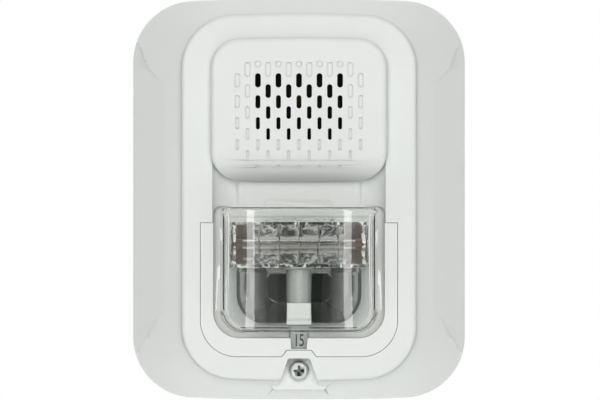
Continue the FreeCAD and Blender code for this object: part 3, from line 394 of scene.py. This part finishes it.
# Painted reflection: the block below the column is a flat white for the light its mirror facet
# catches.
glare_mask = put(tree, "ShaderNodeMath", {0: middle, 1: under}, operation="MULTIPLY")
bare_flange = put(tree, "ShaderNodeBsdfPrincipled", {"Base Color": grey}, Roughness=BARE_ROUGH)
dull_column = put(tree, "ShaderNodeBsdfPrincipled", {"Base Color": grey},
                  Roughness=DULL_ROUGH, Metallic=DULL_METAL)
painted_reflection_block = put(tree, "ShaderNodeBsdfPrincipled", {"Base Color": painted_glare}, Roughness=GLARE_ROUGH)
with_flange = put(tree, "ShaderNodeMixShader", {0: bare, 1: shader, 2: bare_flange})
with_column = put(tree, "ShaderNodeMixShader", {0: column, 1: with_flange, 2: dull_column})
with_painted_reflection = put(tree, "ShaderNodeMixShader", {0: glare_mask, 1: with_column, 2: painted_reflection_block})
tree.links.new(with_painted_reflection.outputs[0], tree.nodes["Material Output"].inputs["Surface"])
finish_of("reflector", "mirror_bowl", mirror, "head", edge=0.15 * MM)

# ------------------------------------------------------------------ flash tube
# A clear quartz tube with dark oxidised end caps; a fine nickel trigger wire is wound round it.
DRAWN_WAVE, DRAWN_RELIEF, DRAWN_STRENGTH = 1.5 * MM, 0.03 * MM, 0.3

# Clear, with a thin bright line along it that wavers a little, as drawn tube does.
quartz, tree, shader, coords = new_material("fused_quartz")
shader.inputs["Transmission Weight"].default_value = 1.0
shader.inputs["Roughness"].default_value = 0.01
shader.inputs["IOR"].default_value = 1.46
draw_lines = put(tree, "ShaderNodeTexNoise", {"Vector": (coords, "Object")},
                 Scale=1 / DRAWN_WAVE, Detail=1.0)
waver = put(tree, "ShaderNodeBump", {"Height": draw_lines},
            Strength=DRAWN_STRENGTH, Distance=DRAWN_RELIEF)
tree.links.new(waver.outputs[0], shader.inputs["Normal"])
tube = finish_of("flash_tube", "xenon_tube", quartz, "head", edge=0.0)
tube.visible_shadow = False
# Brown scaled metal that shows dark beside the mirror.
scaled = plain_moulding("oxidised_electrode", "#7a5d45", "#4a382c", 0.4, 1.5, 1.0)
# Warm silver grey, fine and bright against the tube.
nickel = plain_moulding("nickel_wire", "#b9b6ae", "#9c9992", 0.3, 1.0, 1.0)
finish_of("tube_electrodes", "tube_ends", scaled, "head", edge=0.12 * MM)
finish_of("trigger_wire", "trigger_winding", nickel, "head", edge=0.0)

# ------------------------------------------------------------------ candela selector
# A pale moulded slide with its seven flash settings printed in black. The first shows in the
# window below the lens; a thumb tab goes through the rear cover.
SETTING_TEXT = ("15", "30", "75", "95", "110", "135", "185")
SETTING_PITCH, DIGIT_HIGH, INK_THICK = 5.0 * MM, 4.3 * MM, 0.04 * MM
DIGIT_SHARE, TWO_DIGITS_WIDE, THREE_DIGITS_WIDE = 0.7, 0.62, 0.5

# The head's plastic, a little less glossy so that the number reads.
scale_abs = satin_abs("scale_white_abs", "#e9ece9", "#e2e6e3", rough=0.5)
# Pad-printed ink: a soft blue-black, not quite even.
ink = plain_moulding("black_print", "#2b3133", "#343a3c", 0.5, 1.0)
finish_of("candela_selector", "setting_slide", scale_abs, "selector", edge=0.12 * MM)
low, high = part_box("candela_selector")
for i, text in enumerate(SETTING_TEXT):
    curve = bpy.data.curves.new("setting_" + text, "FONT")
    curve.body, curve.size, curve.extrude = text, DIGIT_HIGH / DIGIT_SHARE, INK_THICK
    curve.align_x, curve.align_y = "CENTER", "CENTER"
    number = bpy.data.objects.new("setting_" + text, curve)
    bpy.context.scene.collection.objects.link(number)
    only(number)
    bpy.ops.object.convert(target="MESH")
    number = bpy.context.object
    narrow = TWO_DIGITS_WIDE if len(text) == 2 else THREE_DIGITS_WIDE
    place = Matrix.Translation((i * SETTING_PITCH, low[1] - INK_THICK, (low[2] + high[2]) / 2))
    stand = Matrix.Rotation(math.radians(90), 4, "X")
    number.data.transform(place @ stand @ Matrix.Diagonal((narrow, 1, 1, 1)))
    number.data.materials.append(ink)
    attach(number, "selector")

# ------------------------------------------------------------------ mounting screw
# A zinc-plated pan head screw with a cross recess, kept in the head by a push-on ring.
# Bright bluish silver, with painted shade inside the cross recess and other hollows.
zinc = plain_moulding("zinc_plated_steel", "#e4e7e5", "#d0d4d2", 0.34, 1.4, 1.0, recess_shade=0.85)
# A darker, flatter grey than the zinc.
spring_steel = plain_moulding("blued_spring_steel", "#9a9c9b", "#7f8180", 0.35, 1.5, 1.0)
finish_of("mounting_screw", "mounting_screw_finish", zinc, "screw",
          edge=0.0, angle=HEAD_SMOOTH)
finish_of("screw_retainer", "push_on_ring", spring_steel, "retainer",
          edge=0.08 * MM)

# ------------------------------------------------------------------ tone dial
# A small white moulded dial with a driver slot, turned from the rear to one of eight tones. It
# presses into a black sealed rotary switch that is soldered to the board.
# A warmer white than the head, so that the control stands out.
dial_abs = satin_abs("dial_white", "#eceeea", "#e4e7e3")
finish_of("tone_dial", "tone_dial_finish", dial_abs, "dial", edge=0.12 * MM)
finish_of("rotary_switch_body", "rotary_switch", black_moulding, "head")

# ------------------------------------------------------------------ rear cover
# A plain ABS tray that closes the head, held by four zinc-plated thread-forming screws. The black
# pin carrier comes through it with four tinned blades for the wall plate.
# The head's plastic, slightly greyer.
cover_abs = satin_abs("rear_white_abs", "#e6e8e4", "#e0e3df")
# Pale yellow-grey: brass showing faintly warm through its tin.
tin = plain_moulding("tinned_brass", "#d6cfae", "#c2bb9b", 0.3, 1.5, 1.0)
finish_of("back_cover", "rear_cover", cover_abs, "head")
finish_of("cover_screws", "cover_fixings", zinc, "head", edge=0.08 * MM)
finish_of("pin_block", "pin_carrier", black_moulding, "head")
finish_of("contact_blades", "contact_pins", tin, "head", edge=0.1 * MM)

# ------------------------------------------------------------------ circuit board
# Glass-fibre board with green solder mask, screwed between head and cover. It carries the flash
# capacitor in its shrink sleeve, two wound ferrite parts, black epoxy packages and chip parts.
# Deep green with a clear gloss.
solder_mask = plain_moulding("green_solder_mask", "#1f5a34", "#1a4d2c", 0.3, 4.0)
# Near-black blue, smooth and shiny.
sleeve = plain_moulding("shrink_sleeve", "#20222a", "#1a1b22", 0.3)
# Dull dark brown, mottled where varnished wire covers the core.
ferrite = plain_moulding("ferrite_and_wire", "#38302a", "#2a2522", 0.5, 1.0)
# Black with a fine dry surface.
epoxy = plain_moulding("black_epoxy", "#1d1d1d", "#242424", 0.45, 1.0)
# Tan and brown, changing from chip to chip.
ceramic = plain_moulding("ceramic_chips", "#8a7a62", "#5c5146", 0.5, 2.0)
finish_of("circuit_board", "main_board", solder_mask, "head", edge=0.05 * MM)
finish_of("storage_capacitor", "energy_store", sleeve, "head",
          edge=0.2 * MM)
finish_of("trigger_transformer", "trigger_coil", ferrite, "head")
finish_of("power_inductor", "storage_coil", ferrite, "head")
finish_of("power_transistor", "power_package", epoxy, "head")
finish_of("control_chip", "controller_package", epoxy, "head", edge=0.05 * MM)
finish_of("surface_mount_parts", "chip_components", ceramic, "head", edge=0.05 * MM)

# ------------------------------------------------------------------ wall plate
# A white ABS plate screwed flat to the electrical box, with two hooks at the top for the head. Its
# tinned sockets take the blades, the field wires go under clamps, and a leaf bridges the circuit.
# The head's plastic, slightly greyer.
plate_abs = satin_abs("plate_white_abs", "#e7e9e5", "#e1e4e0")
# Bright plain grey strip.
spring_strip = plain_moulding("spring_strip", "#b4b4b0", "#9c9c98", 0.3, 1.5, 1.0)
finish_of("mounting_plate", "wall_plate_moulding", plate_abs, "wall_plate")
finish_of("terminal_contacts", "socket_contacts", tin, "wall_plate",
          edge=0.05 * MM)
finish_of("terminal_clamps", "wire_clamps", zinc, "wall_plate", edge=0.1 * MM)
finish_of("terminal_screws", "wire_screws", zinc, "wall_plate", edge=0.1 * MM)
finish_of("shorting_spring", "shorting_leaf", spring_strip, "wall_plate",
          edge=0.0)
